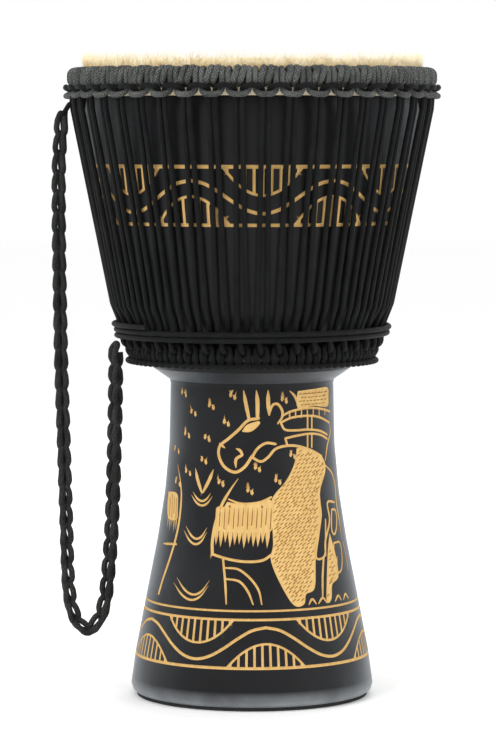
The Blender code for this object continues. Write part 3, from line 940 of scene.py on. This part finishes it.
def picture_cuts(turn):
    """The picture's gouges, cut-out areas and the small lands left standing in them."""
    gouges, areas, lands = [], [], []
    for width, *left, points in PICTURE_LINES:
        gouges.append(gouged(drawn(points, turn), width, *left))
    for outline in (CLOTH, PANEL, EYE, LEG_GAP, FRINGE, REAR_FRINGE):
        area = gouged(drawn([*outline, outline[0]], turn), 1.4, tips=False)
        areas.append(area)
        gouges.append(area)
    for across, up, wide, deep in CRESCENTS:
        arc = [(across + wide / 2 * step / 2, up + deep * (step / 2) ** 2) for step in range(-2, 3)]
        gouges.append(gouged(drawn(arc, turn), 2.4, 0.2, 0.2))
    for across, up in TICKS:
        for side in (-1, 1):
            middle = up - side * 1.2
            ends = [(across + side * 2.0, middle - 1.6), (across + side * 1.6, middle + 1.6)]
            gouges.append(gouged(drawn(ends, turn), 3.2, 1.0, 0.2, 0.8))
    for left, right, top, tip, tongues in FRINGES:
        pitch = (right - left) / tongues
        for i in range(tongues):
            across = left + pitch * (i + 0.5)
            drop = 2.5 * math.sin(i * 2.4)
            line = [(across + 1, top), (across, (top + tip) / 2), (across - 1, tip - drop)]
            gouges.append(gouged(drawn(line, turn), pitch * 1.04, 1.0, 0.05))
            slit = [(across + pitch * 0.75, top + 1), (across + pitch * 0.5, top - 16 - drop)]
            lands.append(gouged(drawn(slit, turn), 1.3, 0.2, 1.0))
    for bar in range(PANEL_BARS):
        across = BAR_FROM + BAR_APART * bar
        gouges.append(gouged(drawn([(across, up) for up in BAR_HEIGHTS], turn), 1.8))
    for outline, step, lean, long in LAND_ROWS:
        corners = np.array(outline, dtype=float)
        (left, low), (right, high) = corners.min(axis=0), corners.max(axis=0)
        for row in range(math.ceil((high - low) / step)):
            for column in range(math.ceil((right - left) / step)):
                middle = np.array([left + (column + row % 2 / 2) * step, low + row * step])
                ends = [middle - (long / 2, long / 2 * lean), middle + (long / 2, long / 2 * lean)]
                if all(inside_of(np.array([end * 1.5 - middle * 0.5 for end in ends]), corners)):
                    lands.append(gouged(drawn([ends[0], middle, ends[1]], turn), 1.5, 0.6, 0.6, 4))
    return gouges, areas, lands


def stained_wood():
    """Black-stained wood, scuffed, with a painted grey-blue reflection where the surface turns away from the
    view, greyer towards the bottom of the foot, and pale golden wood wherever the stain is cut away.
    """
    made, tree, inputs = new_material("stained wood")
    at = object_place(tree)
    stretched = place(tree, "ShaderNodeMapping", {"Vector": at, "Scale": (1, 1, 0.12)})[0]
    grain = noise(tree, stretched, 260.0, 4.0)
    scuffs = noise(tree, at, 22.0, 7.0)
    cut = place(tree, "ShaderNodeAttribute", {}, attribute_name="cut")["Fac"]
    standing = place(tree, "ShaderNodeAttribute", {}, attribute_name="standing")["Fac"]
    # Painted reflection: grey-blue where the surface turns away from the view, broken up by the scuffs.
    painted_edge_reflection = place(tree, "ShaderNodeLayerWeight", {"Blend": 0.42})["Facing"]
    painted_edge_reflection = sum_of(tree, "MULTIPLY", sum_of(tree, "POWER", painted_edge_reflection, 2.4), scuffs)
    # Greyer towards the bottom of the foot, broken up by the scuffs.
    height = place(tree, "ShaderNodeSeparateXYZ", {0: at})[2]
    greyer_towards_bottom = sum_of(tree, "MULTIPLY", ranged(tree, height, 0.018, 0.006, 0.0, 1.1), scuffs)
    black = mixed(tree, scuffs, (0.003, 0.003, 0.0035), (0.012, 0.0125, 0.014))
    black = mixed(tree, painted_edge_reflection, black, (0.4, 0.45, 0.5))
    black = mixed(tree, greyer_towards_bottom, black, (0.33, 0.35, 0.37))
    browned = ranged(tree, standing, 0.15, 0.5)
    browned = sum_of(tree, "MAXIMUM", browned, ranged(tree, cut, 0.1, 0.3, 0.75, 0.0))
    pale = mixed(tree, grain, (0.5, 0.29, 0.09), (0.76, 0.54, 0.22))
    pale = mixed(tree, browned, pale, (0.24, 0.1, 0.025))
    covered = ranged(tree, cut, 0.06, 0.11, 1.0, 0.0)
    tree.links.new(mixed(tree, covered, pale, black), inputs["Base Color"])
    rough = ranged(tree, scuffs, 0.0, 1.0, 0.3, 0.5)
    rough = place(tree, "ShaderNodeMix", {"Factor": covered, 2: 0.7, 3: rough})[0]
    tree.links.new(rough, inputs["Roughness"])
    inputs["Specular IOR Level"].default_value = 0.16
    relief(tree, inputs, 0.25, 0.0004, grain)
    return made


shape = bmesh.new()
for name in ("cut", "standing"):
    shape.verts.layers.float.new(name)
layers = [shape.verts.layers.float[name] for name in ("cut", "standing")]
foot_cuts = line_round(92, 2.2) + line_round(84, 2.6) + line_round(40, 3.0)
foot_cuts += wave_ornament(5, math.radians(7), 62, 15, 84, 40, 22, 10, 3.0, 2.6)
picture_areas, picture_lands = [], []
for turn in (0, math.pi):
    gouges, areas, lands = picture_cuts(turn)
    foot_cuts += gouges
    picture_areas += areas
    picture_lands += lands
carved_zone(shape, layers, PICTURE_ZONE, foot_cuts, picture_areas, picture_lands)
band_cuts = line_round(503, 3.8) + line_round(450, 3.4)
band_cuts += wave_ornament(7, math.radians(-22), 475.5, 15, 503, 450, 26, 9, 3.6, 3.0)
carved_zone(shape, layers, BAND_ZONE, band_cuts)
inside_line = smooth_line([(radius, height, 0) for radius, height in INSIDE], 40)[0][:, :2]
above, below = on_outside((515, 530, 543, 554)), on_outside((11, 20, 30))
turned_band(shape, [*above, *RIM_OUTLINE, *inside_line, *FOOT_EDGE[1:], *below[1:]])
turned_band(shape, on_outside((*range(440, 330, -8), *range(330, 302, -3), 301, 297, 296)))
bmesh.ops.remove_doubles(shape, verts=shape.verts, dist=0.000004)
bmesh.ops.dissolve_degenerate(shape, edges=shape.edges, dist=0.0000005)
shell = new_piece("carved_shell", shape)
shell.data.polygons.foreach_set("use_smooth", [True] * len(shell.data.polygons))
shell.data.set_sharp_from_angle(angle=math.radians(24))
shell.data.materials.append(stained_wood())
keep(shell, "stained_wood", "shell")

# ---- Foot tread ----
# A thin strip of black rubber with a toothed edge, glued under the foot so that the drum doesn't slide.

TREAD_WIDTH = 0.010
TEETH = 264
TOOTH = 0.0009
tread_low, tread_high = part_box("foot_tread")
shape = bmesh.new()
rings = []
bottom, top = tread_low[2], tread_high[2]
for inward, height in ((0, bottom), (0, top), (TREAD_WIDTH, top), (TREAD_WIDTH, bottom)):
    ring = []
    for i in range(2 * TEETH):
        radius = tread_high[0] - inward - (TOOTH * (i % 2) if inward == 0 else 0)
        ring.append(shape.verts.new(on_drum(math.pi * i / TEETH, radius, height)))
    rings.append(ring)
bridge(shape, [*rings, rings[0]])
tread = new_piece("toothed_tread", shape)
rubber, tree, inputs = new_material("tread rubber", 0.85)
dust = noise(tree, object_place(tree), 90.0, 4.0)
tree.links.new(mixed(tree, dust, (0.006, 0.006, 0.006), (0.03, 0.03, 0.029)), inputs["Base Color"])
tread.data.materials.append(rubber)
keep(tread, "tread_rubber", "foot_tread")

# ---- Drumhead ----
# Goat rawhide soaked, pulled down over the rim by its ring and dried tight. Its face is shaved, cream
# coloured and faintly mottled.

rawhide, tree, inputs = new_material("rawhide")
at = object_place(tree)
mottle = noise(tree, at, 14.0, 6.0)
tree.links.new(mixed(tree, mottle, (0.78, 0.62, 0.36), (0.9, 0.83, 0.64)), inputs["Base Color"])
relief(tree, inputs, 0.2, 0.0003, noise(tree, at, 900.0, 2.0))
refinish("drumhead", rawhide)

# ---- Hair collar ----
# The edge of the skin, turned up behind the crown and trimmed, with the goat's hair left on. The hair
# is golden at its roots and cream at its tips.

COLLAR_WALL = 0.0012
COLLAR_STEPS = 180
HAIR_LENGTH = 0.009
collar_low, collar_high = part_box("hair_collar")
outside = collar_high[0] - 0.0012
stub = collar_high[2] - HAIR_LENGTH * 0.55
bottom, within = collar_low[2], outside - COLLAR_WALL
turns = [2 * math.pi * i / COLLAR_STEPS for i in range(COLLAR_STEPS)]
shape = bmesh.new()
rings = []
for corner in ((outside, bottom), (outside, stub), (within, stub), (within, bottom)):
    rings.append([shape.verts.new(on_drum(turn, *corner)) for turn in turns])
bridge(shape, [*rings, rings[0]])
collar = new_piece("hairy_edge", shape)


def hair_tree():
    """Short tapering hairs scattered over a surface, leaning up and a little out, each its own way."""
    inputs = {"Geometry": "Geometry", "Density": "Float", "Length": "Float"}
    inputs |= {"Root": "Float", "Seed": "Int"}
    tree, given = start_tree("short hair", inputs)
    seed = given["Seed"]
    spread = {"Mesh": given["Geometry"], "Density": given["Density"], "Seed": seed}
    spread = place(tree, "GeometryNodeDistributePointsOnFaces", spread)
    cone = {"Vertices": 3, "Side Segments": 2, "Radius Top": 0.00004, "Radius Bottom": given["Root"]}
    hair = place(tree, "GeometryNodeMeshCone", {**cone, "Depth": given["Length"]})["Mesh"]
    lean = {0: (-0.6, -0.6, 0.6), 1: (0.6, 0.6, 1.0), "Seed": seed}
    stray = place(tree, "FunctionNodeRandomValue", lean, data_type="FLOAT_VECTOR")[0]
    outward = vector_sum(tree, "MULTIPLY", spread["Normal"], (0.08, 0.08, 0.0))
    way = vector_sum(tree, "ADD", outward, stray)
    turned = place(tree, "FunctionNodeAlignRotationToVector", {"Vector": way}, axis="Z")[0]
    grown = place(tree, "FunctionNodeRandomValue", {2: 0.6, 3: 1.15, "Seed": seed}, data_type="FLOAT")[1]
    planting = {"Points": spread["Points"], "Instance": hair, "Rotation": turned, "Scale": grown}
    planted = place(tree, "GeometryNodeInstanceOnPoints", planting)[0]
    joined = place(tree, "GeometryNodeJoinGeometry", {0: given["Geometry"]})[0]
    tree.links.new(planted, joined.node.inputs[0])
    end_tree(tree, {"Geometry": place(tree, "GeometryNodeRealizeInstances", {"Geometry": joined})[0]})
    return tree


goat_hair, tree, inputs = new_material("goat hair", 0.6)
at = object_place(tree)
tufts = sum_of(tree, "SUBTRACT", noise(tree, at, 70.0, 3.0), 0.5)
tipped = ranged(tree, place(tree, "ShaderNodeSeparateXYZ", {0: at})[2], 0.588, 0.602)
tipped = sum_of(tree, "ADD", tipped, tufts)
tree.links.new(mixed(tree, tipped, (0.62, 0.43, 0.15), (0.93, 0.84, 0.62)), inputs["Base Color"])
hair_values = {"Density": 260000.0, "Length": HAIR_LENGTH, "Root": 0.0003, "Seed": 4}
collar = grow(collar, hair_tree(), goat_hair, hair_values)
keep(collar, "goat_hair", "hair_collar")
